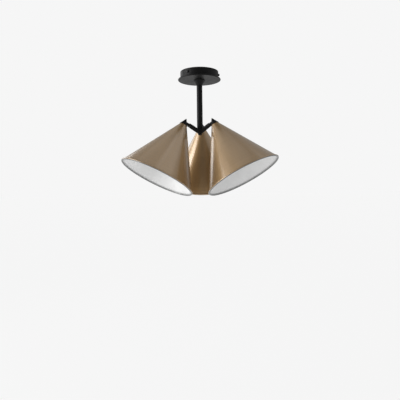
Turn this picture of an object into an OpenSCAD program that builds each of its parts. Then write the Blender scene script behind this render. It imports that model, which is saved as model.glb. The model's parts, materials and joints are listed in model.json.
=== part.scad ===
// Three-cone ceiling light. Millimetres, +Z up.
// The origin is the centre of the canopy's ceiling face; the lamp hangs below it.
// Three arms leave a hub at the foot of the stem. Each ends in a fork, and in
// each fork a neck tilts that carries a conical cap and a conical metal shade.

/* [Canopy] */
// Outside diameter of the canopy cup
cup_d = 107.2; // [100:0.4:112]
// Height of the canopy cup
cup_h = 20.5; // [19:0.5:24]
// Diameter of the round disc under the cup
disc_d = 120; // [116:1:130]
// Thickness of the disc
disc_t = 3.5; // [3:0.1:4]
// Distance of the side screws below the ceiling
side_screw_z = 9.8; // [8:0.2:11]
// Spacing of the two slots for the ceiling screws
slot_spacing = 70; // [66:1:72]
// End-to-end length of each slot
slot_len = 13; // [10:1:14]
// Width of each slot
slot_w = 5; // [4:0.5:6]

/* [Stem] */
// Outside diameter of the stem
stem_d = 16; // [14:0.5:16.5]
// Largest diameter of the conical collar
collar_d = 32; // [28:1:36]
// Height of the conical collar
collar_h = 13.5; // [12:0.5:16]
// Distance of the arms' meeting point below the ceiling
hub_z = 171.5; // [165:0.5:260]

/* [Arms] */
// Diameter of the thick part of an arm
arm_d = 12; // [11.6:0.2:12.4]
// Rise of the arms above the horizontal
arm_rise = 30; // [28:1:32]
// Distance along the arm from the stem's axis to its pivot
pivot_at = 35; // [34:0.5:37]
// Distance along the arm from the stem's axis to its end
arm_len = 39.4; // [39:0.1:40]

/* [Heads] */
// Tilt of the left, right and rear shade from straight down, as aimed
rest_tilt = [28.5, 29.5, 26];
// Clocking of the left, right and rear neck about its arm, as assembled
clocking = [1.7, 3.3, 0];
// Half of the opening angle of each cone
half_angle = 29; // [28:0.5:29]
// Length of each cone from its tip to its mouth
cone_len = 182; // [150:1:184]
// Thickness of the shade's sheet
sheet_t = 1; // [0.8:0.1:1.2]
// Thickness of the rolled edge at the mouth
bead_d = 4.6; // [3.4:0.2:4.8]
// Length of the black cap at the tip of each cone
cap_len = 18; // [16:0.5:19]
// Diameter of the neck between arm and cap
neck_d = 8; // [7.8:0.1:8]

/* [Hidden] */

$fn = 64;
FN_BIG = 144;

arm_az = [210, 330, 90];
LEFT = 0;
RIGHT = 1;
REAR = 2;

black = [0.10, 0.10, 0.105];
brass = [0.60, 0.52, 0.42];
steel = [0.68, 0.69, 0.70];
yellow_brass = [0.80, 0.66, 0.36];
white = [0.92, 0.92, 0.90];
blue = [0.16, 0.33, 0.62];
brown = [0.36, 0.20, 0.11];
green = [0.35, 0.60, 0.20];

slope = tan(half_angle);
plate_t = 1.5;               // bracket sheet
cup_t = 1;                   // cup sheet
nip_r = 4.95;                // hollow nipple, outside
nip_bore = 3.7;
thread_r = 5;                // every hole that the nipple's thread fills
cup_floor = -cup_h;
disc_low = -cup_h - disc_t;
collar_low = disc_low - collar_h;
stem_top = collar_low + 4.5; // the stem stands 4.5 mm inside the collar
stem_low = -hub_z + 12.5;
tip_low = -hub_z - 7.6;      // blunt tip under the hub

// head frame: origin on the pivot, X along the neck, Z up the cone's axis
neck_len = 17.5;             // pivot to cone axis
tip_up = 9.9;                // cone tip above the neck's axis
cap_proud = 1.37;            // cap outside the line of the shade
wire_r = 0.8;
wire_bend = 0.95;            // the same at a bend
wire_gap = 1.05;             // each wire of a pair, from the middle
wire_out = 2.2;              // a pair, from the stem's axis

screw_az = [0, 120, 240];
block_az = 300;              // where the terminal block lies
block_r = 36;

// ---------- placing ----------

module at_arm(i)
    translate([0, 0, -hub_z])
        rotate([0, 0, arm_az[i]])
            rotate([0, -arm_rise, 0])
                children();

module at_pivot(i)
    at_arm(i)
        translate([pivot_at, 0, 0])
            rotate([clocking[i], 0, 0])
                children();

module at_head(i)
    at_pivot(i)
        rotate([0, arm_rise - rest_tilt[i], 0])
            children();

// origin on the cone's tip, Z still up its axis
module at_tip(i)
    at_head(i)
        translate([neck_len, 0, tip_up])
            children();

module along_x(x0, x1, r)
    translate([x0, 0, 0])
        rotate([0, 90, 0])
            cylinder(r = r, h = x1 - x0);

module across_y(y0, y1, r)
    translate([0, y0, 0])
        rotate([-90, 0, 0])
            cylinder(r = r, h = y1 - y0);

module ring(ro, ri, z0, z1)
    translate([0, 0, z0])
        difference() {
            cylinder(r = ro, h = z1 - z0);
            translate([0, 0, -1]) cylinder(r = ri, h = z1 - z0 + 2);
        }

// a wire through a list of points, a little thicker at each bend
module wire(points, r, bend) {
    for (k = [0 : len(points) - 2]) {
        d = points[k + 1] - points[k];
        translate(points[k])
            rotate([0, acos(d[2] / norm(d)), atan2(d[1], d[0])])
                cylinder(r = r, h = norm(d), $fn = 32);
    }
    if (len(points) > 2)
        for (k = [1 : len(points) - 2])
            translate(points[k]) sphere(r = bend, $fn = 32);
}

// ---------- canopy ----------

module ceiling_bracket() color(steel) {
    difference() {
        union() {
            translate([0, 0, -plate_t]) {
                cylinder(r = 21, h = plate_t);
                // bar along X, with a slot each side
                translate([-46, -7, 0]) cube([92, 14, plate_t]);
                for (a = screw_az) rotate([0, 0, a])
                    translate([0, -6, 0])
                        cube([cup_d / 2 - cup_t - 0.6, 12, plate_t]);
            }
            // ears, bent down, that take the side screws
            for (a = screw_az) rotate([0, 0, a])
                translate([cup_d / 2 - cup_t - 2.1, -6, -15])
                    cube([1.5, 12, 15 - plate_t / 2]);
        }
        translate([0, 0, -5]) cylinder(r = 10.5, h = 10);
        for (s = [-1, 1]) translate([s * slot_spacing / 2, 0, -5]) {
            for (e = [-1, 1])
                translate([e * (slot_len - slot_w) / 2, 0, 0])
                    cylinder(r = slot_w / 2, h = 10);
            translate([-(slot_len - slot_w) / 2, -slot_w / 2, 0])
                cube([slot_len - slot_w, slot_w, 10]);
        }
        for (a = screw_az) rotate([0, 0, a])
            translate([40, 0, -side_screw_z]) along_x(0, 20, 2);
        // tapped hole for the earth screw
        rotate([0, 0, 120]) translate([33, 0, -5]) cylinder(r = 2, h = 10);
    }
}

module earth_screw() color(yellow_brass)
    rotate([0, 0, 120]) translate([33, 0, 0])
        difference() {
            union() {
                translate([0, 0, -plate_t - 0.8]) cylinder(r = 1.95, h = 2.1);
                translate([0, 0, -plate_t - 3.2]) cylinder(r = 3.6, h = 2.4);
            }
            translate([-4, -0.5, -plate_t - 4]) cube([8, 1, 1.8]);
        }

module earth_lug() color(steel)
    rotate([0, 0, 120]) translate([33, 0, -plate_t - 0.8])
        difference() {
            union() {
                cylinder(r = 4.2, h = 0.8);
                translate([-9, -1.5, 0]) cube([7, 3, 0.8]);
                // barrel that grips the earth wire
                translate([-14, 0, -1]) along_x(0, 6, 1.7);
            }
            translate([0, 0, -2]) cylinder(r = 2.05, h = 4);
            translate([-15, 0, -1]) along_x(0, 5, 1.05);
        }

module canopy_cup() color(black) {
    r = cup_d / 2;
    difference() {
        rotate_extrude($fn = FN_BIG) {
            difference() {
                union() {
                    translate([0, cup_floor + 0.8]) square([r, cup_h - 0.8]);
                    translate([0, cup_floor]) square([r - 0.8, cup_h]);
                    translate([r - 0.8, cup_floor + 0.8])
                        circle(r = 0.8, $fn = 24);
                }
                translate([-1, cup_floor + cup_t])
                    square([r - cup_t + 1, cup_h]);
            }
        }
        translate([0, 0, -cup_h - 1]) cylinder(r = thread_r, h = 10);
        for (a = screw_az) rotate([0, 0, a])
            translate([r - 5, 0, -side_screw_z]) along_x(0, 10, 2.15);
        // thread of the terminal block's fixing screw
        rotate([0, 0, block_az]) translate([block_r, 0, -cup_h - 1])
            cylinder(r = 1.25, h = 5);
    }
}

module canopy_disc() color(black) {
    r = disc_d / 2;
    e = disc_t / 2;
    difference() {
        rotate_extrude($fn = FN_BIG) {
            translate([0, disc_low]) square([r - e, disc_t]);
            translate([r - e, disc_low + e])
                difference() {
                    circle(r = e, $fn = 40);
                    translate([-2 * e, -2 * e]) square([2 * e, 4 * e]);
                }
        }
        translate([0, 0, disc_low - 1]) cylinder(r = thread_r, h = 10);
        // pocket for the tip of the terminal block's screw
        rotate([0, 0, block_az]) translate([block_r, 0, -cup_h - 2])
            cylinder(r = 2, h = 4);
    }
}

// three pan-head screws in the side of the cup
module canopy_screws() color(black)
    for (a = screw_az) rotate([0, 0, a])
        translate([cup_d / 2, 0, -side_screw_z])
            difference() {
                union() {
                    along_x(-4.6, 0.2, 1.95);
                    along_x(0.05, 2.4, 3.5);
                    intersection() {
                        along_x(2.3, 4, 3.5);
                        translate([-1.3, 0, 0]) sphere(r = 5.07);
                    }
                }
                // cross recess
                translate([2.4, -2, -0.4]) cube([3, 4, 0.8]);
                translate([2.4, -0.4, -2]) cube([3, 0.8, 4]);
            }

// frame of the terminal block: X away from the stem, Z up from the cup's floor
module at_block()
    rotate([0, 0, block_az]) translate([block_r, 0, cup_floor + cup_t]) children();

module terminal_block() color(white)
    at_block() difference() {
        union() {
            for (y = [-9, 0, 9]) {
                translate([-7, y - 3.9, 0]) cube([14, 7.8, 9.5]);
                translate([-4, y - 3.2, 9]) cube([8, 6.4, 3]);
            }
            translate([-6, -13.2, 0]) cube([12, 26.4, 5]);
        }
        for (y = [-9, 9]) {
            translate([-8, y, 5]) along_x(0, 16, 2.35);
            for (x = [-3, 3]) translate([x, y, 4]) cylinder(r = 1.55, h = 10);
        }
        // fixing screw between the poles
        translate([0, 0, -1]) cylinder(r = 1.65, h = 15);
        translate([0, 0, 5]) cylinder(r = 3, h = 10);
    }

module terminal_clamps() color(yellow_brass)
    at_block() for (y = [-9, 9]) translate([0, y, 5])
        difference() {
            along_x(-6.5, 6.5, 2.3);
            along_x(-7, 7, 1.45);
            for (x = [-3, 3]) translate([x, 0, 0]) cylinder(r = 1.3, h = 5);
        }

module terminal_screws() color(steel)
    at_block() for (y = [-9, 9]) for (x = [-3, 3])
        translate([x, y, 0])
            difference() {
                translate([0, 0, 6.6]) cylinder(r = 1.25, h = 4.4);
                translate([-2, -0.3, 10.2]) cube([4, 0.6, 2]);
            }

module block_screw() color(steel)
    at_block() difference() {
        union() {
            translate([0, 0, -2]) cylinder(r = 1.2, h = 7.2);
            translate([0, 0, 5]) cylinder(r = 2.7, h = 2);
        }
        translate([-4, -0.35, 6.1]) cube([8, 0.7, 2]);
    }

// ---------- stem ----------

module stem_nipple() color(steel)
    difference() {
        union() {
            translate([0, 0, stem_top - 12])
                cylinder(r = nip_r, h = -stem_top + 12 - 11.6);
            translate([0, 0, -11.6]) cylinder(r1 = nip_r, r2 = nip_r - 0.6, h = 0.6);
        }
        translate([0, 0, stem_top - 13]) cylinder(r = nip_bore, h = 60);
    }

module nipple_nut() color(steel)
    difference() {
        translate([0, 0, cup_floor + cup_t + 1]) cylinder(r = 8.1, h = 3.5, $fn = 6);
        translate([0, 0, -cup_h]) cylinder(r = thread_r, h = 20);
    }

// washer with a tag that takes the end of the earth wire
module nipple_washer() color(steel)
    translate([0, 0, cup_floor + cup_t]) difference() {
        union() {
            cylinder(r = 9.5, h = 1);
            rotate([0, 0, 120]) translate([8, -2, 0]) cube([7.5, 4, 1]);
        }
        translate([0, 0, -1]) cylinder(r = thread_r + 0.15, h = 3);
    }

module stem_collar() color(black) {
    rc = collar_d / 2;
    rotate_extrude($fn = FN_BIG)
        polygon([
            [thread_r, disc_low], [rc - 0.3, disc_low], [rc, disc_low - 0.3],
            [rc, disc_low - 0.9],
            [stem_d / 2 + 0.75, collar_low + 0.3], [stem_d / 2 + 0.45, collar_low],
            [stem_d / 2 + 0.03, collar_low], [stem_d / 2 + 0.03, stem_top],
            [thread_r, stem_top]
        ]);
}

module stem_tube() color(black)
    rotate_extrude($fn = FN_BIG)
        translate([thread_r, stem_low])
            square([stem_d / 2 - thread_r, stem_top - stem_low]);

// body with a threaded spigot for the stem above and a blunt tip below
module hub() color(black)
    difference() {
        union() {
            rotate_extrude()
                polygon([
                    [0, tip_low], [4.2, tip_low], [5.4, tip_low + 1.2], [5.4, -hub_z - 1],
                    [stem_d / 2, -hub_z - 1], [stem_d / 2, stem_low], [nip_r, stem_low],
                    [nip_r, stem_low + 10], [0, stem_low + 10]
                ]);
            for (i = [0 : 2]) at_arm(i) along_x(0.4, 15.5, arm_d / 2);
        }
        // way of the wires
        rotate_extrude()
            polygon([
                [0, -hub_z - 3], [4.3, -hub_z - 3], [4.3, -hub_z + 3.5],
                [nip_bore, -hub_z + 4.5], [nip_bore, stem_low + 20], [0, stem_low + 20]
            ]);
        for (i = [0 : 2]) at_arm(i) {
            along_x(2.5, 9, 3.2);
            along_x(8, 16, 4.45);
        }
    }

// ---------- arms ----------

slot_floor = pivot_at - 4.4; // where the fork's slot ends
fork_gap = 7.8;              // width of the slot

module arm(i) color(black)
    at_arm(i) difference() {
        union() {
            along_x(8.1, 16, 4.4);
            along_x(15.5, arm_len, arm_d / 2);
        }
        along_x(0, 50, 3.2);
        // slot, open above, below and at the end
        translate([slot_floor, 0, 0]) rotate([clocking[i], 0, 0])
            translate([0, -fork_gap / 2, -20]) cube([20, fork_gap, 40]);
        translate([pivot_at, 0, 0]) rotate([clocking[i], 0, 0])
            across_y(-20, 20, 1.5);
    }

module arm_left() arm(LEFT);
module arm_right() arm(RIGHT);
module arm_rear() arm(REAR);

// two screws with a plain point in each fork: the necks turn on the points
module pivot_screws() color(steel)
    for (i = [0 : 2]) at_pivot(i) for (s = [0, 180]) rotate([0, 0, s])
        difference() {
            union() {
                across_y(3.6, arm_d / 2 - 0.35, 1.45);
                across_y(2.7, 3.7, 1);
            }
            translate([-2, arm_d / 2 - 1.15, -0.25]) cube([4, 2, 0.5]);
        }

module friction_washers() color([0.85, 0.83, 0.76])
    for (i = [0 : 2]) at_pivot(i) for (s = [-1, 1])
        difference() {
            across_y(s > 0 ? 3.5 : -3.89, s > 0 ? 3.89 : -3.5, 3.3);
            across_y(-6, 6, 1.55);
        }

// ---------- wires in the canopy, stem and arms ----------

function turn(a, p) = [p[0] * cos(a) - p[1] * sin(a), p[0] * sin(a) + p[1] * cos(a), p[2]];

// three wires of one polarity, down the stem and out to the forks (s: side)
module stem_wires(s)
    for (i = [0 : 2]) {
        q = turn(arm_az[i], [wire_out, wire_gap * s, 0]);
        wire([
            q + [0, 0, -8], q + [0, 0, -hub_z + wire_out * tan(arm_rise)],
            turn(arm_az[i], [slot_floor * cos(arm_rise), wire_gap * s, 0])
                + [0, 0, -hub_z + slot_floor * sin(arm_rise)]
        ], wire_r, wire_bend);
    }

// the tail to which the three are joined inside the sleeve
module tail(s)
    rotate([0, 0, block_az]) {
        z = cup_floor + cup_t + 5;
        wire([[17, 1.5 * s, z], [20.5, 1.9 * s, z], [24.5, 9 * s, z], [block_r - 7.2, 9 * s, z]], 1.25, 1.5);
        translate([0, 9 * s, z]) along_x(block_r - 7.4, block_r + 1, 1.1);
    }

module live_wires() color(brown) { stem_wires(1); tail(1); }
module neutral_wires() color(blue) { stem_wires(-1); tail(-1); }

// woven sleeve round the six wires, from the nipple over to the terminal block
module wire_sleeve() color([0.86, 0.84, 0.78])
    rotate([0, 0, block_az]) difference() {
        wire([[0, 0, -10.7], [0, 0, -6.2], [8.4, 0, -6.2], [14.4, 0, -14.5], [19.4, 0, -14.5]],
             4, 4.3);
        translate([0, 0, -16]) cylinder(r = 3.3, h = 9);
        translate([0, 0, -14.5]) along_x(16.5, 25, 3.3);
    }

// bonds the canopy to the earth terminal of the bracket
module earth_wire() color(green) {
    z = -plate_t - 1.8;
    wire([turn(120, [22.5, 0, z]), turn(120, [17, 0, z]), turn(120, [13.5, 0, z - 3]),
          turn(120, [13.5, 0, cup_floor + cup_t + 1])], 1, 1.2);
}

// ---------- heads ----------

module neck(i) color(black)
    at_head(i) difference() {
        union() {
            // round heel on the pivot, flat on both sides
            intersection() {
                union() {
                    across_y(-5, 5, 4);
                    // square lower corner: stops the head leaning inwards
                    translate([-4, -5, -4]) cube([4, 10, 4]);
                    // nib: stops the head at the horizontal
                    translate([-0.6, -5, 0]) cube([2.4, 10, 4.7]);
                    translate([0, -5, -4]) cube([7.5, 10, 8]);
                }
                union() {
                    along_x(-5, 8, neck_d / 2);
                    translate([-5, -2.9, -5]) cube([7, 5.8, 10]);
                }
                translate([-10, -3.45, -10]) cube([20, 6.9, 20]);
            }
            along_x(7.5, neck_len - 3.8, neck_d / 2);
        }
        along_x(-10, neck_len, 2.4);
        across_y(-10, 10, 1.05);
    }

// stands a little proud of the shade, with a blunt point
module cap(i) color(black)
    at_tip(i) difference() {
        union() {
            translate([0, 0, -cap_len])
                cylinder(r1 = cap_len * slope + cap_proud, r2 = cap_proud - 1.5 * slope,
                         h = cap_len + 1.5, $fn = FN_BIG);
            // register that centres the shade
            translate([0, 0, -cap_len - 1.2])
                cylinder(r = cap_len * slope - 1.33, h = 1.3);
            // hollow threaded stud for bush, nut and lampholder
            translate([0, 0, -34]) cylinder(r = nip_r, h = 34 - cap_len);
        }
        translate([0, 0, -40]) cylinder(r = 3.2, h = 31.5);
        translate([-neck_len, 0, -tip_up]) along_x(0, neck_len - 3.75, neck_d / 2 + 0.03);
        translate([-neck_len, 0, -tip_up]) along_x(0, neck_len, 2.4);
    }

// spun cone with a rolled edge; the tip is cut off under the cap
module shade(i) color(brass) {
    hb = cone_len - bead_d / 2 + 0.1;
    rb = cone_len * slope - bead_d / 2 + 0.4;
    inset = sheet_t / cos(half_angle);
    at_tip(i) union() {
        rotate_extrude($fn = FN_BIG) polygon([
            [cap_len * slope, -cap_len], [(hb - 0.6) * slope, -hb + 0.6],
            [(hb - 0.6) * slope - inset, -hb + 0.6], [cap_len * slope - inset, -cap_len]
        ]);
        rotate_extrude($fn = FN_BIG) translate([rb, -hb]) circle(r = bead_d / 2, $fn = 40);
    }
}

module clamp_bush(i) color([0.13, 0.13, 0.13]) {
    inset = sheet_t / cos(half_angle) + 0.06;
    at_tip(i) difference() {
        translate([0, 0, -24])
            cylinder(r1 = 24 * slope - inset, r2 = (cap_len + 1.5) * slope - inset,
                     h = 22.5 - cap_len);
        translate([0, 0, -30]) cylinder(r = thread_r + 0.1, h = 20);
    }
}

module clamp_nut(i) color(steel)
    at_tip(i) difference() {
        translate([0, 0, -27.5]) cylinder(r = 8.1, h = 3.5, $fn = 6);
        translate([0, 0, -30]) cylinder(r = thread_r, h = 10);
    }

module holder_cap(i) color(white)
    at_tip(i) rotate_extrude()
        polygon([
            [thread_r, -27.6], [8.2, -27.6], [8.6, -28], [8.6, -29.4], [11.6, -30.6],
            [12.9, -32.4], [13.3, -35], [13.3, -46], [11.2, -46], [11.2, -36.5],
            [10.2, -35.5], [thread_r, -35.5]
        ]);

module holder_insert(i) color([0.80, 0.79, 0.75])
    at_tip(i) difference() {
        translate([0, 0, -56]) cylinder(r = 11.1, h = 12);
        // cable entries and the pocket of the centre contact
        for (s = [-1, 1]) translate([0, s * 4.4, -50]) cylinder(r = 1.5, h = 10);
        translate([0, 0, -57]) cylinder(r = 3, h = 3.5);
    }

module holder_skirt(i) color(white)
    at_tip(i) rotate_extrude()
        polygon([
            [11.2, -46], [13.3, -46], [13.6, -46.3], [13.6, -81.2], [12.8, -82],
            [9, -82], [8.2, -81.2], [8.2, -76.5], [7.55, -76.5], [7.55, -58],
            [6, -58], [6, -56], [11.2, -56]
        ]);

module thread_shell(i) color(yellow_brass)
    at_tip(i) ring(7.5, 7, -76.4, -58.6);

module contact(i) color(yellow_brass)
    at_tip(i) {
        translate([0, 0, -55.2]) cylinder(r = 2.4, h = 1.7);
        translate([0, 0, -58.2]) cylinder(r1 = 1.1, r2 = 2, h = 3.1);
    }

// pair of wires from the neck down to the lampholder; frame of the head
module leads(i) color([0.20, 0.20, 0.21])
    at_head(i) for (s = [-1, 1])
        wire([
            [-3.6, s * wire_gap, 0], [neck_len, s * wire_gap, 0],
            [neck_len, s * wire_gap, tip_up - 29.5], [neck_len, s * 4.4, tip_up - 45.8]
        ], wire_r, wire_bend);

module neck_left() neck(LEFT);
module neck_right() neck(RIGHT);
module neck_rear() neck(REAR);
module cap_left() cap(LEFT);
module cap_right() cap(RIGHT);
module cap_rear() cap(REAR);
module shade_left() shade(LEFT);
module shade_right() shade(RIGHT);
module shade_rear() shade(REAR);
module clamp_bush_left() clamp_bush(LEFT);
module clamp_bush_right() clamp_bush(RIGHT);
module clamp_bush_rear() clamp_bush(REAR);
module clamp_nut_left() clamp_nut(LEFT);
module clamp_nut_right() clamp_nut(RIGHT);
module clamp_nut_rear() clamp_nut(REAR);
module holder_cap_left() holder_cap(LEFT);
module holder_cap_right() holder_cap(RIGHT);
module holder_cap_rear() holder_cap(REAR);
module holder_insert_left() holder_insert(LEFT);
module holder_insert_right() holder_insert(RIGHT);
module holder_insert_rear() holder_insert(REAR);
module holder_skirt_left() holder_skirt(LEFT);
module holder_skirt_right() holder_skirt(RIGHT);
module holder_skirt_rear() holder_skirt(REAR);
module thread_shell_left() thread_shell(LEFT);
module thread_shell_right() thread_shell(RIGHT);
module thread_shell_rear() thread_shell(REAR);
module contact_left() contact(LEFT);
module contact_right() contact(RIGHT);
module contact_rear() contact(REAR);
module leads_left() leads(LEFT);
module leads_right() leads(RIGHT);
module leads_rear() leads(REAR);

ceiling_bracket();
earth_screw();
earth_lug();
canopy_cup();
canopy_disc();
canopy_screws();
terminal_block();
terminal_clamps();
terminal_screws();
block_screw();
stem_nipple();
nipple_nut();
nipple_washer();
stem_collar();
stem_tube();
hub();
arm_left();
arm_right();
arm_rear();
pivot_screws();
friction_washers();
live_wires();
neutral_wires();
wire_sleeve();
earth_wire();
neck_left();
cap_left();
shade_left();
clamp_bush_left();
clamp_nut_left();
holder_cap_left();
holder_insert_left();
holder_skirt_left();
thread_shell_left();
contact_left();
leads_left();
neck_right();
cap_right();
shade_right();
clamp_bush_right();
clamp_nut_right();
holder_cap_right();
holder_insert_right();
holder_skirt_right();
thread_shell_right();
contact_right();
leads_right();
neck_rear();
cap_rear();
shade_rear();
clamp_bush_rear();
clamp_nut_rear();
holder_cap_rear();
holder_insert_rear();
holder_skirt_rear();
thread_shell_rear();
contact_rear();
leads_rear();
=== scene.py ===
import json
import math

import bmesh
import bpy
from mathutils import Matrix, Vector


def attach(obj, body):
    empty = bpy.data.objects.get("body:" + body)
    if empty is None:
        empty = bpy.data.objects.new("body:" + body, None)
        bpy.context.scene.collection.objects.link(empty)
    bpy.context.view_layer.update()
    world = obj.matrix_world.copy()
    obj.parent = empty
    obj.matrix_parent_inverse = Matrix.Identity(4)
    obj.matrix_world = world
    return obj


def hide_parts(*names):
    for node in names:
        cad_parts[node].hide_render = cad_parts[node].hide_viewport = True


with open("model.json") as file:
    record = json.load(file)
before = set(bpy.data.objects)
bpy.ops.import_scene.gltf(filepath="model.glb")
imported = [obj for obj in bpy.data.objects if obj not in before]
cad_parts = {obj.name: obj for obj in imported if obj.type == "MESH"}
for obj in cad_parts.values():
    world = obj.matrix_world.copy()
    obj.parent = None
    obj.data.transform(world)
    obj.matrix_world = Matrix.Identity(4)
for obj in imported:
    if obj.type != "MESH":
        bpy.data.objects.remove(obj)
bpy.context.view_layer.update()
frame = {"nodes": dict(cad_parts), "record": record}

# ---------------------------------------------------------------- sizes, mm
HUB_Z = 171.5
ARM_AZ = {"left": 210.0, "right": 330.0, "rear": 90.0}
ARM_RISE = 30.0
PIVOT_AT = 35.0
REST_TILT = {"left": 28.5, "right": 29.5, "rear": 26.0}
CLOCKING = {"left": 1.7, "right": 3.3, "rear": 0.0}
NECK_LEN = 17.5
TIP_UP = 9.9
HALF_ANGLE = math.radians(29.0)
CONE_LEN = 182.0
CAP_LEN = 18.0
SHEET = 1.0
BEAD = 2.3
CUP_FLOOR = -20.5
BLOCK_AZ = 300.0
BLOCK_R = 36.0
HEADS = ("left", "right", "rear")
MM = 0.001


def rot(angle, axis):
    return Matrix.Rotation(math.radians(angle), 4, axis)


def tip_matrix(h):
    """Frame of a shade: origin on the cone's tip, Z up its axis."""
    m = Matrix.Translation((0, 0, -HUB_Z * MM)) @ rot(ARM_AZ[h], "Z") @ rot(-ARM_RISE, "Y")
    m = m @ Matrix.Translation((PIVOT_AT * MM, 0, 0)) @ rot(CLOCKING[h], "X")
    m = m @ rot(ARM_RISE - REST_TILT[h], "Y")
    return m @ Matrix.Translation((NECK_LEN * MM, 0, TIP_UP * MM))


# ---------------------------------------------------------------- materials
class Nodes:
    """A short way to write a node material."""

    def __init__(self, name):
        self.mat = bpy.data.materials.new(name)
        self.mat.use_nodes = True
        self.nt = self.mat.node_tree
        self.nt.nodes.clear()
        self.out = self.nt.nodes.new("ShaderNodeOutputMaterial")
        self.bsdf = self.nt.nodes.new("ShaderNodeBsdfPrincipled")
        self.nt.links.new(self.bsdf.outputs[0], self.out.inputs[0])

    def new(self, kind, **values):
        n = self.nt.nodes.new("ShaderNode" + kind)
        for k, v in values.items():
            setattr(n, k, v)
        return n

    def link(self, a, b):
        self.nt.links.new(a, b)

    def set(self, **values):
        for k, v in values.items():
            self.bsdf.inputs[k.replace("_", " ")].default_value = v
        return self

    def coords(self, kind="Object"):
        return self.new("TexCoord").outputs[kind]

    def mapping(self, vector, scale=(1, 1, 1)):
        m = self.new("Mapping")
        m.inputs["Scale"].default_value = scale
        self.link(vector, m.inputs["Vector"])
        return m.outputs[0]

    def noise(self, vector, scale, detail=2.0, rough=0.5):
        n = self.new("TexNoise")
        n.inputs["Scale"].default_value = scale
        n.inputs["Detail"].default_value = detail
        n.inputs["Roughness"].default_value = rough
        self.link(vector, n.inputs["Vector"])
        return n.outputs["Fac"]

    def ramp(self, fac, low, high, a, b):
        """Fac from low to high becomes colour a to b."""
        r = self.new("ValToRGB")
        r.color_ramp.elements[0].position = low
        r.color_ramp.elements[1].position = high
        r.color_ramp.elements[0].color = (*a, 1)
        r.color_ramp.elements[1].color = (*b, 1)
        self.link(fac, r.inputs[0])
        return r.outputs[0]

    def remap(self, fac, a, b, low=0.0, high=1.0):
        r = self.new("MapRange")
        r.inputs["From Min"].default_value = low
        r.inputs["From Max"].default_value = high
        r.inputs["To Min"].default_value = a
        r.inputs["To Max"].default_value = b
        self.link(fac, r.inputs["Value"])
        return r.outputs[0]

    def math(self, op, a, b):
        m = self.new("Math", operation=op)
        for i, v in enumerate((a, b)):
            if isinstance(v, (int, float)):
                m.inputs[i].default_value = v
            else:
                self.link(v, m.inputs[i])
        return m.outputs[0]

    def bump(self, height, strength, distance, normal=None):
        b = self.new("Bump")
        b.inputs["Strength"].default_value = strength
        b.inputs["Distance"].default_value = distance
        self.link(height, b.inputs["Height"])
        if normal is not None:
            self.link(normal, b.inputs["Normal"])
        return b.outputs[0]

    def rounded(self, radius):
        """Softens the light on sharp edges, as a coat of paint does."""
        b = self.new("Bevel", samples=4)
        b.inputs["Radius"].default_value = radius
        return b.outputs[0]

    def surface(self, colour=None, roughness=None, normal=None):
        for value, socket in (
            (colour, "Base Color"), (roughness, "Roughness"), (normal, "Normal"),
        ):
            if value is not None:
                self.link(value, self.bsdf.inputs[socket])
        return self.mat


def black_coat(name, base=0.0045, rough=(0.42, 0.52), edge=0.0004):
    """Matt black powder coat: a fine orange peel, with the sharpest edges rounded in the shading normal."""
    m = Nodes(name)
    p = m.coords()
    patch = m.noise(p, 30.0, 3.0, 0.6)
    peel = m.noise(p, 1500.0, 2.0, 0.55)
    grain = m.noise(p, 5200.0, 1.0, 0.5)
    colour = m.ramp(patch, 0.3, 0.7, (base * 0.85,) * 2 + (base * 0.88,), (base * 1.2,) * 2 + (base * 1.24,))
    m.set(Specular_IOR_Level=BLACK_SPEC)
    normal = m.bump(peel, 0.10, 0.0004, m.rounded(edge))
    normal = m.bump(grain, 0.05, 0.0001, normal)
    return m.surface(colour, m.remap(patch, rough[0], rough[1], 0.3, 0.7), normal)


def lacquered_brass(name):
    """Spun sheet, satin-brushed round the axis, under a clear lacquer."""
    m = Nodes(name)
    p = m.coords()
    sep = m.new("SeparateXYZ")
    m.link(m.coords("UV"), sep.inputs[0])
    # the tool's fine rings run round the axis, so they change with the way down it only
    high = m.new("CombineXYZ")
    m.link(sep.outputs[1], high.inputs[2])
    rings = m.noise(high.outputs[0], 2600.0, 3.0, 0.7)
    bands = m.noise(high.outputs[0], 160.0, 2.0, 0.5)
    patch = m.noise(p, 14.0, 3.0, 0.55)
    speck = m.noise(p, 2400.0, 2.0, 0.6)
    tone = m.math("ADD", m.math("MULTIPLY", patch, 0.6), m.math("MULTIPLY", bands, 0.4))
    colour = m.ramp(tone, 0.35, 0.65, BRASS_A, BRASS_B)
    rough = m.math("ADD", m.remap(patch, BRASS_ROUGH - 0.03, BRASS_ROUGH + 0.03, 0.3, 0.7), m.remap(rings, -0.03, 0.03, 0.3, 0.7))
    normal = m.bump(rings, 0.05, 0.00006)
    normal = m.bump(speck, 0.03, 0.0001, normal)
    m.set(Metallic=BRASS_METAL, Coat_Weight=BRASS_COAT, Coat_Roughness=BRASS_COAT_ROUGH, Coat_IOR=BRASS_COAT_IOR, Specular_IOR_Level=0.5)
    return m.surface(colour, rough, normal)


def inside_white(name, low, high):
    """White enamel sprayed up the cone. Over the last few mm towards the rim it turns grey: painted shade near the
    rim and on the bead's inner side.
    """
    m = Nodes(name)
    p = m.coords()
    sep = m.new("SeparateXYZ")
    m.link(m.coords("UV"), sep.inputs[0])
    patch = m.noise(p, 18.0, 3.0, 0.6)
    peel = m.noise(p, 1100.0, 2.0, 0.5)
    colour = m.ramp(patch, 0.3, 0.7, (low,) * 2 + (low * 0.995,), (high,) * 2 + (high * 0.997,))
    # mixes in painted shade: grey over the last few mm down the axis, towards the rim
    mix = m.new("Mix", data_type="RGBA")
    m.link(m.remap(sep.outputs[1], 0.0, 1.0, RIM_SHADE_FADE[0], RIM_SHADE_FADE[1]), mix.inputs[0])
    m.link(colour, mix.inputs[6])
    mix.inputs[7].default_value = (*RIM_PAINTED_SHADE, 1)
    m.set(Specular_IOR_Level=0.5)
    return m.surface(mix.outputs[2], m.remap(patch, 0.34, 0.44, 0.3, 0.7), m.bump(peel, 0.08, 0.0003))


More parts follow.
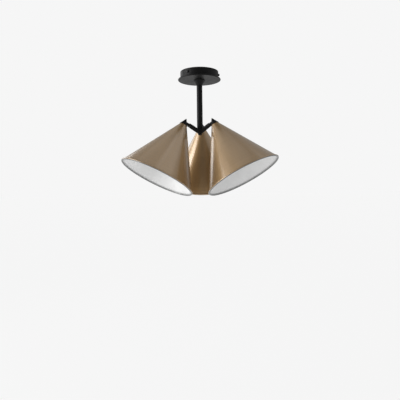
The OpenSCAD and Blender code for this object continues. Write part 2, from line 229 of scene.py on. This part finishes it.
def painted_bead_shade(name):
    """The underside of the rolled edge, from its outer side inwards: dark grey painted shade and painted dark
    reflection, not a colour of the metal.
    """
    m = Nodes(name)
    p = m.coords()
    patch = m.noise(p, 60.0, 3.0, 0.6)
    fine = m.noise(p, 1800.0, 2.0, 0.6)
    m.set(Metallic=0.0, Specular_IOR_Level=1.0)
    return m.surface(
        m.ramp(patch, 0.3, 0.7, (BEAD_SHADE * 0.88, BEAD_SHADE * 0.89, BEAD_SHADE * 0.88), (BEAD_SHADE * 1.12, BEAD_SHADE * 1.13, BEAD_SHADE * 1.12)),
        m.remap(patch, 0.28, 0.36, 0.3, 0.7), m.bump(fine, 0.08, 0.0002),
    )


def metal(name, a, b, rough=(0.25, 0.38), scratch=0.12, edge=0.0002):
    m = Nodes(name)
    p = m.coords()
    patch = m.noise(p, 120.0, 3.0, 0.6)
    lines = m.noise(m.mapping(p, (1, 14, 1)), 900.0, 2.0, 0.6)
    m.set(Metallic=1.0)
    return m.surface(
        m.ramp(patch, 0.3, 0.7, a, b), m.remap(patch, rough[0], rough[1], 0.3, 0.7),
        m.bump(lines, scratch, 0.00008, m.rounded(edge)),
    )


def plastic(name, a, b, rough=(0.3, 0.4), edge=0.0004, grain=0.08, scatter=0.0, coat=0.0):
    m = Nodes(name)
    p = m.coords()
    patch = m.noise(p, 60.0, 3.0, 0.6)
    fine = m.noise(p, 2600.0, 2.0, 0.5)
    m.set(Specular_IOR_Level=0.5, Subsurface_Weight=scatter, Subsurface_Scale=0.002, Coat_Weight=coat, Coat_Roughness=0.12)
    return m.surface(
        m.ramp(patch, 0.3, 0.7, a, b), m.remap(patch, rough[0], rough[1], 0.3, 0.7),
        m.bump(fine, grain, 0.0002, m.rounded(edge)),
    )


def insulation(name, a, stripe=None):
    """Wire insulation. The mesh's UV runs once round the wire."""
    m = Nodes(name)
    uv = m.coords("UV")
    patch = m.noise(m.coords(), 200.0, 2.0, 0.5)
    colour = m.ramp(patch, 0.3, 0.7, tuple(c * 0.9 for c in a), tuple(c * 1.1 for c in a))
    if stripe:
        sep = m.new("SeparateXYZ")
        m.link(uv, sep.inputs[0])
        band = m.math("GREATER_THAN", m.math("FRACT", m.math("ADD", sep.outputs[0], 0.1), 0), 0.6)
        mix = m.new("Mix", data_type="RGBA")
        m.link(band, mix.inputs[0])
        m.link(colour, mix.inputs[6])
        mix.inputs[7].default_value = (*stripe, 1)
        colour = mix.outputs[2]
    m.set(Specular_IOR_Level=0.5)
    return m.surface(colour, m.remap(patch, 0.28, 0.38, 0.3, 0.7), m.bump(patch, 0.05, 0.0002))


def woven(name):
    """Braided glass-fibre sleeve: two sets of strands cross in the mesh's UV."""
    m = Nodes(name)
    sep = m.new("SeparateXYZ")
    m.link(m.coords("UV"), sep.inputs[0])
    u = m.math("MULTIPLY", sep.outputs[0], 16.0)
    v = m.math("MULTIPLY", sep.outputs[1], 1100.0)
    a = m.math("SINE", m.math("MULTIPLY", m.math("ADD", u, v), math.pi), 0)
    b = m.math("SINE", m.math("MULTIPLY", m.math("SUBTRACT", u, v), math.pi), 0)
    weave = m.math("MAXIMUM", m.math("ABSOLUTE", a, 0), m.math("ABSOLUTE", b, 0))
    fuzz = m.noise(m.coords(), 3000.0, 2.0, 0.6)
    colour = m.ramp(weave, 0.55, 1.0, (0.50, 0.47, 0.40), (0.78, 0.75, 0.68))
    m.set(Specular_IOR_Level=0.4, Sheen_Weight=0.2)
    height = m.math("ADD", weave, m.math("MULTIPLY", fuzz, 0.3))
    return m.surface(colour, m.remap(fuzz, 0.6, 0.8, 0.3, 0.7), m.bump(height, 0.5, 0.0003))


BRASS_A = (0.362, 0.231, 0.102)
BRASS_B = (0.412, 0.265, 0.121)
BRASS_METAL = 0.70
BRASS_ROUGH = 0.48
BRASS_COAT = 1.0
BRASS_COAT_IOR = 1.9
BRASS_COAT_ROUGH = 0.2
BLACK_SPEC = 0.17
LINING = (0.72, 0.78)
# painted shade: where the lining and the bead's inner side turn grey, and how grey
RIM_SHADE_FADE = (0.1750, 0.1800)
RIM_PAINTED_SHADE = (0.34, 0.345, 0.345)
# painted shade: how dark the grey under the bead is
BEAD_SHADE = 0.10

M_BLACK = black_coat("powder_black")
M_SCREW = black_coat("screw_black", base=0.016, rough=(0.25, 0.34), edge=0.0002)
M_BRASS = lacquered_brass("brass_lacquer")
M_WHITE = inside_white("inside_white", *LINING)
# the bead's inner side takes the same painted shade near the rim
M_LIP = inside_white("lip_white", *LINING)
M_BEAD_SHADE = painted_bead_shade("painted_bead_shade")
M_ZINC = metal("bright_zinc", (0.52, 0.53, 0.54), (0.62, 0.63, 0.64))
M_PLAIN_BRASS = metal("plain_brass", (0.66, 0.47, 0.20), (0.78, 0.58, 0.28), rough=(0.22, 0.34))
M_TERMINAL = plastic("terminal_white", (0.74, 0.74, 0.70), (0.80, 0.80, 0.77), rough=(0.4, 0.5), scatter=0.2)
M_HOLDER = plastic("holder_white", (0.72, 0.72, 0.69), (0.78, 0.78, 0.75), rough=(0.22, 0.32), coat=0.2)
M_CERAMIC = plastic("holder_ceramic", (0.70, 0.67, 0.60), (0.77, 0.74, 0.68), rough=(0.6, 0.75), grain=0.25)
M_FIBRE = plastic("washer_nylon", (0.62, 0.59, 0.50), (0.70, 0.67, 0.58), rough=(0.45, 0.55), scatter=0.2)
M_BUSH = plastic("bush_black", (0.020, 0.020, 0.020), (0.030, 0.030, 0.030), rough=(0.5, 0.6))
M_BROWN = insulation("wire_brown", (0.13, 0.05, 0.025))
M_BLUE = insulation("wire_blue", (0.03, 0.11, 0.36))
M_GREEN = insulation("wire_green_yellow", (0.07, 0.26, 0.05), (0.72, 0.56, 0.04))
M_DARK = insulation("wire_dark", (0.035, 0.035, 0.038))
M_SLEEVE = woven("woven_sleeve")

BY_SLOT = {
    "black_coat": M_BLACK, "black_screw": M_SCREW, "shade_metal": M_BRASS, "shade_white": M_WHITE,
    "bright_zinc": M_ZINC, "plain_brass": M_PLAIN_BRASS, "terminal_white": M_TERMINAL,
    "washer_fibre": M_FIBRE, "wire_brown": M_BROWN, "wire_blue": M_BLUE, "wire_green": M_GREEN,
    "wire_black": M_DARK, "woven_sleeve": M_SLEEVE, "bush_black": M_BUSH,
    "holder_plastic": M_HOLDER, "holder_ceramic": M_CERAMIC,
}
for part in frame["record"]["subparts"]:
    obj = frame["nodes"][part["node"]]
    mat = BY_SLOT[part["material_slot"]]
    if obj.data.materials:
        for s in obj.material_slots:
            s.material = mat
    else:
        obj.data.materials.append(mat)


# ---------------------------------------------------------------- meshes
def mesh_object(name, verts, faces, mats, face_mats=None, matrix=None, sharp=30.0, uvs=None, closed=True):
    if matrix is not None:
        verts = [tuple(matrix @ Vector(v)) for v in verts]
    me = bpy.data.meshes.new(name)
    me.from_pydata(verts, [], faces)
    for mat in mats:
        me.materials.append(mat)
    if face_mats:
        me.polygons.foreach_set("material_index", face_mats)
    if uvs:
        layer = me.uv_layers.new(name="UVMap")
        for loop, uv in zip(layer.data, uvs):
            loop.uv = uv
    if closed:
        bm = bmesh.new()
        bm.from_mesh(me)
        bmesh.ops.recalc_face_normals(bm, faces=bm.faces[:])
        bm.to_mesh(me)
        bm.free()
    me.polygons.foreach_set("use_smooth", [True] * len(me.polygons))
    me.update()
    if sharp:
        me.set_sharp_from_angle(angle=math.radians(sharp))
    obj = bpy.data.objects.new(name, me)
    bpy.context.scene.collection.objects.link(obj)
    return obj


def spin(name, profile, mats, profile_mats=None, segments=256, matrix=None, sharp=30.0, radius=None):
    """Turns a closed profile of (r, z) in mm round Z. radius(r, z, angle) may move a point in or out.
    The UV is the turn round the axis and the distance down it from the tip, in metres."""
    n = len(profile)
    verts, faces, fm, uvs = [], [], [], []
    for k in range(segments):
        a = 2 * math.pi * k / segments
        for r, z in profile:
            q = radius(r, z, a) if radius else r
            verts.append((q * math.cos(a) * MM, q * math.sin(a) * MM, z * MM))
    for k in range(segments):
        j = (k + 1) % segments
        for i in range(n):
            i2 = (i + 1) % n
            faces.append((k * n + i, k * n + i2, j * n + i2, j * n + i))
            u0, u1 = k / segments, (k + 1) / segments
            v0, v1 = -profile[i][1] * MM, -profile[i2][1] * MM
            uvs += [(u0, v0), (u0, v1), (u1, v1), (u1, v0)]
            fm.append(profile_mats[i] if profile_mats else 0)
    return mesh_object(name, verts, faces, mats, fm, matrix, sharp, uvs)


def arc(cx, cz, r, a0, a1, steps):
    """Points of a circle's arc, from angle a0 to a1 in degrees."""
    return [
        (cx + r * math.cos(math.radians(a0 + (a1 - a0) * i / steps)),
         cz + r * math.sin(math.radians(a0 + (a1 - a0) * i / steps)))
        for i in range(steps + 1)
    ]


SLOPE = math.tan(HALF_ANGLE)
INSET = SHEET / math.cos(HALF_ANGLE)
HB = CONE_LEN - BEAD + 0.1
RB = CONE_LEN * SLOPE - BEAD + 0.4


def bead_angle(offset):
    """Angle on the bead where a line at that sideways distance from its centre, along the cone's wall, comes in from above."""
    # unit vector up the wall and the one square to it, pointing out
    up = math.degrees(math.atan2(math.cos(HALF_ANGLE), -math.sin(HALF_ANGLE)))
    turn = math.degrees(math.asin(offset / BEAD))
    return up - turn


# how far the outer and the inner wall lie from the bead's centre, square to the wall
OUT_OFF = (HB * SLOPE - RB) * math.cos(HALF_ANGLE)
IN_OFF = OUT_OFF - SHEET


def shade_pieces(h):
    matrix = tip_matrix(h)
    body = "head_" + h
    lip = 0.16
    outer_top = (CAP_LEN * SLOPE - 0.02, -CAP_LEN)
    inner_top = (CAP_LEN * SLOPE - INSET, -CAP_LEN)
    start, end = bead_angle(OUT_OFF), bead_angle(IN_OFF) - 360
    split, paint = -20.0, -168.0
    bead = arc(RB, -HB, BEAD, start, split, 18) + arc(RB, -HB, BEAD - 0.12, split, end, 16)
    outer = [outer_top, (outer_top[0] + 0.4 * SLOPE, -CAP_LEN - 0.4)]
    first = bead[0]
    for t in (0.25, 0.5, 0.75, 0.97, 0.993):
        outer.append((outer[1][0] + (first[0] - outer[1][0]) * t, outer[1][1] + (first[1] - outer[1][1]) * t))
    last = bead[-1]
    inner = []
    for t in (0.01, 0.03, 0.25, 0.5, 0.75):
        inner.append((last[0] + (inner_top[0] - last[0]) * t, last[1] + (inner_top[1] - last[1]) * t))
    profile = outer + bead + inner + [inner_top]
    profile = profile[::-1]
    shell = spin(f"shade_{h}_shell", profile, [M_BRASS], matrix=matrix, segments=288, sharp=50)
    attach(shell, body)
    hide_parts("shade_" + h)
    # the underside of the bead is coloured dark grey as painted shade and painted dark reflection, and the white
    # paint ends on its inner side, greyed there with painted shade
    for part, a0, a1, mat, slot in (("edge", split, paint, M_BEAD_SHADE, "shade_metal"), ("lip", paint, end - 2, M_LIP, "shade_white")):
        ring = arc(RB, -HB, BEAD, a0, a1, 18) + arc(RB, -HB, BEAD - 0.3, a1, a0, 18)
        rim = spin(f"shade_{h}_{part}", ring[::-1], [mat], matrix=matrix, segments=288, sharp=50)
        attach(rim, body)
    # coat of white on the inside, from the bead up to the cap
    a = (last[0] + (inner_top[0] - last[0]) * 0.001, last[1] + (inner_top[1] - last[1]) * 0.001)
    b = (inner_top[0], inner_top[1] - 0.2)
    n = (-math.cos(HALF_ANGLE) * lip, -math.sin(HALF_ANGLE) * lip)
    line = [(a[0] + (b[0] - a[0]) * t, a[1] + (b[1] - a[1]) * t) for t in (0, 0.003, 0.25, 0.5, 0.75, 1)]
    skin = [(r + n[0] * (0 if i in (0, 5) else 1), z + n[1] * (0 if i in (0, 5) else 1)) for i, (r, z) in enumerate(line)]
    back = [(r - n[0] * 0.3, z - n[1] * 0.3) for r, z in line[::-1]]
    lining = spin(f"shade_{h}_lining", (skin + back)[::-1], [M_WHITE], matrix=matrix, segments=288, sharp=50)
    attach(lining, body)


def thread_shell(h):
    """Rolled thread of the small Edison socket: the sheet itself waves in a helix."""
    pitch, low, high, thick = 2.82, -76.4, -58.6, 0.28
    steps, segments = 110, 96
    verts, faces = [], []

    def ease(z):
        return max(0.0, min(1.0, (z - low - 0.6) / 1.5, (high - 0.4 - z) / 1.5))

    for k in range(segments):
        a = 2 * math.pi * k / segments
        ring_in, ring_out = [], []
        for i in range(steps + 1):
            z = low + (high - low) * i / steps
            wave = 0.5 + 0.5 * math.cos(2 * math.pi * z / pitch - a)
            r = 7.02 + 0.20 * wave * ease(z)
            ring_in.append((r, z))
            ring_out.append((r + thick, z))
        for r, z in ring_in + ring_out[::-1]:
            verts.append((r * math.cos(a) * MM, r * math.sin(a) * MM, z * MM))
    n = 2 * (steps + 1)
    for k in range(segments):
        j = (k + 1) % segments
        for i in range(n):
            i2 = (i + 1) % n
            faces.append((j * n + i, j * n + i2, k * n + i2, k * n + i))
    shell = mesh_object(f"thread_shell_{h}_rolled", verts, faces, [M_PLAIN_BRASS], matrix=tip_matrix(h), sharp=60)
    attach(shell, "head_" + h)
    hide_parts("thread_shell_" + h)


def smooth_path(points, radius, steps=6):
    """Rounds the corners of a polyline with arcs of quadratic curves."""
    pts = [Vector(p) for p in points]
    out = [pts[0]]
    for a, b, c in zip(pts, pts[1:], pts[2:]):
        d1, d2 = (a - b), (c - b)
        r = min(radius, d1.length * 0.48, d2.length * 0.48)
        p, q = b + d1.normalized() * r, b + d2.normalized() * r
        for i in range(steps + 1):
            t = i / steps
            out.append(p.lerp(b, t).lerp(b.lerp(q, t), t))
    out.append(pts[-1])
    return out


def tube(points, radius, sides=20, inner=None):
    """Verts, faces and UVs of a tube along points (mm), closed at both ends or with a wall."""
    verts, faces, uvs = [], [], []
    up = Vector((0.13, 0.21, 0.97))
    rings = []
    length = 0.0
    lens = []
    for i, p in enumerate(points):
        if i:
            length += (points[i] - points[i - 1]).length
        lens.append(length)
        t = (points[min(i + 1, len(points) - 1)] - points[max(i - 1, 0)]).normalized()
        side = (up - t * up.dot(t)).normalized()
        up = side
        other = t.cross(side)
        ring = []
        for k in range(sides):
            a = 2 * math.pi * k / sides
            ring.append(len(verts))
            verts.append(tuple((p + (side * math.cos(a) + other * math.sin(a)) * radius) * MM))
        rings.append(ring)
    for i in range(len(rings) - 1):
        for k in range(sides):
            k2 = (k + 1) % sides
            faces.append((rings[i][k], rings[i][k2], rings[i + 1][k2], rings[i + 1][k]))
            u0, u1 = k / sides, (k + 1) / sides
            v0, v1 = lens[i] * MM, lens[i + 1] * MM
            uvs += [(u0, v0), (u1, v0), (u1, v1), (u0, v1)]
    if inner is None:
        faces.append(tuple(reversed(rings[0])))
        faces.append(tuple(rings[-1]))
        uvs += [(0, 0)] * (2 * sides)
    else:
        iv, jf, iu, irings = tube_inside(points, inner, sides, len(verts))
        verts += iv
        faces += jf
        uvs += iu
        for ring, iring, flip in ((rings[0], irings[0], True), (rings[-1], irings[-1], False)):
            for k in range(sides):
                k2 = (k + 1) % sides
                f = (ring[k], ring[k2], iring[k2], iring[k])
                faces.append(tuple(reversed(f)) if flip else f)
                uvs += [(0, 0)] * 4
    return verts, faces, uvs


def tube_inside(points, radius, sides, base):
    verts, faces, uvs, rings = [], [], [], []
    up = Vector((0.13, 0.21, 0.97))
    for i, p in enumerate(points):
        t = (points[min(i + 1, len(points) - 1)] - points[max(i - 1, 0)]).normalized()
        side = (up - t * up.dot(t)).normalized()
        up = side
        other = t.cross(side)
        ring = []
        for k in range(sides):
            a = 2 * math.pi * k / sides
            ring.append(base + len(verts))
            verts.append(tuple((p + (side * math.cos(a) + other * math.sin(a)) * radius) * MM))
        rings.append(ring)
    for i in range(len(rings) - 1):
        for k in range(sides):
            k2 = (k + 1) % sides
            faces.append((rings[i][k], rings[i + 1][k], rings[i + 1][k2], rings[i][k2]))
            uvs += [(0, 0)] * 4
    return verts, faces, uvs, rings


def turned(angle, p):
    c, s = math.cos(math.radians(angle)), math.sin(math.radians(angle))
    return (p[0] * c - p[1] * s, p[0] * s + p[1] * c, p[2])


def tubes(name, runs, mat, body, node):
    """One piece of several tubes: each run is (points, radius, bend, inner radius or None)."""
    verts, faces, uvs = [], [], []
    for points, radius, bend, inner in runs:
        v, f, u = tube(smooth_path(points, bend), radius, inner=inner)
        base = len(verts)
        verts += v
        faces += [tuple(base + i for i in face) for face in f]
        uvs += u
    obj = mesh_object(name, verts, faces, [mat], uvs=uvs, sharp=50)
    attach(obj, body)
    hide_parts(node)
    return obj


def wires():
    gap, out, slot_floor, r = 1.05, 2.2, PIVOT_AT - 4.4, 0.8
    rise = math.radians(ARM_RISE)
    for name, s, mat, node, slot_name in (
        ("live_wires_smooth", 1, M_BROWN, "live_wires", "wire_brown"),
        ("neutral_wires_smooth", -1, M_BLUE, "neutral_wires", "wire_blue"),
    ):
        runs = []
        for h in HEADS:
            az = ARM_AZ[h]
            q = turned(az, (out, gap * s, 0))
            e = turned(az, (slot_floor * math.cos(rise), gap * s, 0))
            runs.append(([
                (q[0], q[1], -8), (q[0], q[1], -HUB_Z + out * math.tan(rise)),
                (e[0], e[1], -HUB_Z + slot_floor * math.sin(rise)),
            ], r, 3.0, None))
        z = CUP_FLOOR + 1 + 5
        runs.append(([turned(BLOCK_AZ, p) for p in (
            (17, 1.5 * s, z), (20.5, 1.9 * s, z), (24.5, 9 * s, z), (BLOCK_R - 5, 9 * s, z),
        )], 1.25, 2.0, None))
        tubes(name, runs, mat, "ceiling_frame", node)
    tubes("wire_sleeve_braid", [([turned(BLOCK_AZ, p) for p in (
        (0, 0, -10.7), (0, 0, -6.2), (8.4, 0, -6.2), (14.4, 0, -14.5), (19.4, 0, -14.5),
    )], 3.95, 4.0, 3.35)], M_SLEEVE, "ceiling_frame", "wire_sleeve")
    ez = -1.5 - 1.8
    tubes("earth_wire_striped", [([turned(120, p) for p in (
        (22.5, 0, ez), (17, 0, ez), (13.5, 0, ez - 3), (13.5, 0, CUP_FLOOR + 2.2),
    )], 1.0, 2.5, None)], M_GREEN, "ceiling_frame", "earth_wire")


for head in HEADS:
    shade_pieces(head)
    thread_shell(head)
wires()


# ---------------------------------------------------------------- stage
def stage_material(name, glow, albedo):
    m = Nodes(name)
    p = m.coords()
    patch = m.noise(p, 1.5, 2.0, 0.5)
    colour = m.ramp(patch, 0.2, 0.8, (albedo * 0.99,) * 3, (albedo,) * 3)
    m.set(Roughness=0.9, Emission_Strength=glow, Emission_Color=(1, 1, 1, 1), Specular_IOR_Level=0.1)
    return m.surface(colour)


def disc(name, radius, z, mat, rings=24, segments=96):
    verts, faces = [(0, 0, z)], []
    for i in range(1, rings + 1):
        r = radius * (i / rings) ** 1.6
        for k in range(segments):
            a = 2 * math.pi * k / segments
            verts.append((r * math.cos(a), r * math.sin(a), z))
    for k in range(segments):
        faces.append((0, 1 + k, 1 + (k + 1) % segments))
    for i in range(rings - 1):
        for k in range(segments):
            a, b = 1 + i * segments + k, 1 + i * segments + (k + 1) % segments
            faces.append((a, a + segments, b + segments, b))
    return mesh_object(name, verts, faces, [mat], sharp=0, closed=False)


FLOOR_GLOW = 0.895
floor = disc("floor", 30.0, -1.30, stage_material("floor_pale", FLOOR_GLOW, 0.03))

# a studio with a bright side and a dark one: how much light comes from each way
SIDES = {"left": 0.67, "right": 0.67, "back": 0.50, "front": 0.057, "up": 0.42, "down": 0.5}
SEEN = 0.922

world = bpy.data.worlds.new("studio")
bpy.context.scene.world = world
world.use_nodes = True
wt = world.node_tree
wt.nodes.clear()


def w_node(kind, **values):
    n = wt.nodes.new("ShaderNode" + kind)
    for k, v in values.items():
        setattr(n, k, v)
    return n


def w_math(op, a, b=None):
    n = w_node("Math", operation=op)
    for i, v in enumerate((a, b)):
        if isinstance(v, (int, float)):
            n.inputs[i].default_value = v
        elif v is not None:
            wt.links.new(v, n.inputs[i])
    return n.outputs[0]


w_sep = w_node("SeparateXYZ")
wt.links.new(w_node("TexCoord").outputs["Generated"], w_sep.inputs[0])
light = 0.0
for axis, sign, side in ((0, -1, "left"), (0, 1, "right"), (1, 1, "back"), (1, -1, "front"), (2, 1, "up"), (2, -1, "down")):
    lobe = w_math("MAXIMUM", w_math("MULTIPLY", w_sep.outputs[axis], float(sign)), 0.0)
    lobe = w_math("MULTIPLY", w_math("MULTIPLY", lobe, lobe), SIDES[side])
    light = w_math("ADD", lobe, light)
w_path, w_mix, w_out = w_node("LightPath"), w_node("MixShader"), w_node("OutputWorld")
w_seen, w_light = w_node("Background"), w_node("Background")
w_seen.inputs[0].default_value = (SEEN, SEEN, SEEN, 1)
wt.links.new(light, w_light.inputs[1])
wt.links.new(w_path.outputs["Is Camera Ray"], w_mix.inputs[0])
wt.links.new(w_light.outputs[0], w_mix.inputs[1])
wt.links.new(w_seen.outputs[0], w_mix.inputs[2])
wt.links.new(w_mix.outputs[0], w_out.inputs[0])


def area(name, way, distance, size, radiance, colour=(1, 1, 1)):
    """A soft box seen from the lamp in the direction way, as bright as radiance."""
    data = bpy.data.lights.new(name, "AREA")
    data.shape = "RECTANGLE"
    data.size, data.size_y = size
    data.energy = radiance * math.pi * size[0] * size[1]
    data.color = colour
    obj = bpy.data.objects.new(name, data)
    bpy.context.scene.collection.objects.link(obj)
    aim = Vector((0, 0, -0.22))
    obj.location = aim + Vector(way).normalized() * distance
    obj.rotation_euler = (aim - obj.location).to_track_quat("-Z", "Y").to_euler()
    obj.visible_camera = False
    return obj


BOXES = {
    "key": ((-0.87, -0.20, 0.38), 2.6, (1.6, 0.8), 2.4),
    "low_key": ((-0.87, -0.30, 0.10), 2.6, (1.8, 0.8), 6.0),
    "low_left": ((-0.93, -0.30, -0.14), 2.6, (1.4, 0.8), 2.9),
    "near_left": ((-0.75, -0.40, 0.53), 0.55, (0.3, 0.3), 0.24),
    "near_over": ((-0.17, -0.20, 0.97), 0.36, (0.36, 0.30), 0.22),
    "over_right": ((0.55, 0.00, 0.83), 2.6, (1.8, 1.6), 0.40),
    "back_left": ((-0.75, 0.60, 0.30), 2.6, (1.4, 1.4), 1.55),
}
for box, (way, distance, size, radiance) in BOXES.items():
    if radiance:
        area(box, way, distance, size, radiance)

# ---------------------------------------------------------------- camera
cam_data = bpy.data.cameras.new("camera")
cam_data.sensor_fit = "HORIZONTAL"
cam_data.sensor_width = 36.0
cam_data.lens = 376.32 / 400.0 * 36.0
cam_data.shift_x = 0.0
cam_data.shift_y = -(200.0 - 135.45) / 400.0
cam_data.clip_start, cam_data.clip_end = 0.02, 100.0
cam = bpy.data.objects.new("camera", cam_data)
bpy.context.scene.collection.objects.link(cam)
turn = math.radians(5.33)
eye = Vector((math.sin(turn) * 1.03557, -math.cos(turn) * 1.03557, -0.30479))
pitch = math.radians(6.88)
forward = Vector((-math.sin(turn) * math.cos(pitch), math.cos(turn) * math.cos(pitch), math.sin(pitch)))
right = forward.cross(Vector((0, 0, 1))).normalized()
up = right.cross(forward)
roll = math.radians(0.66)
r2 = right * math.cos(roll) - up * math.sin(roll)
u2 = up * math.cos(roll) + right * math.sin(roll)
cam.matrix_world = Matrix((
    (r2.x, u2.x, -forward.x, eye.x),
    (r2.y, u2.y, -forward.y, eye.y),
    (r2.z, u2.z, -forward.z, eye.z),
    (0, 0, 0, 1),
))
bpy.context.scene.camera = cam
bpy.context.scene.view_settings.view_transform = "Standard"
bpy.context.scene.view_settings.look = "None"
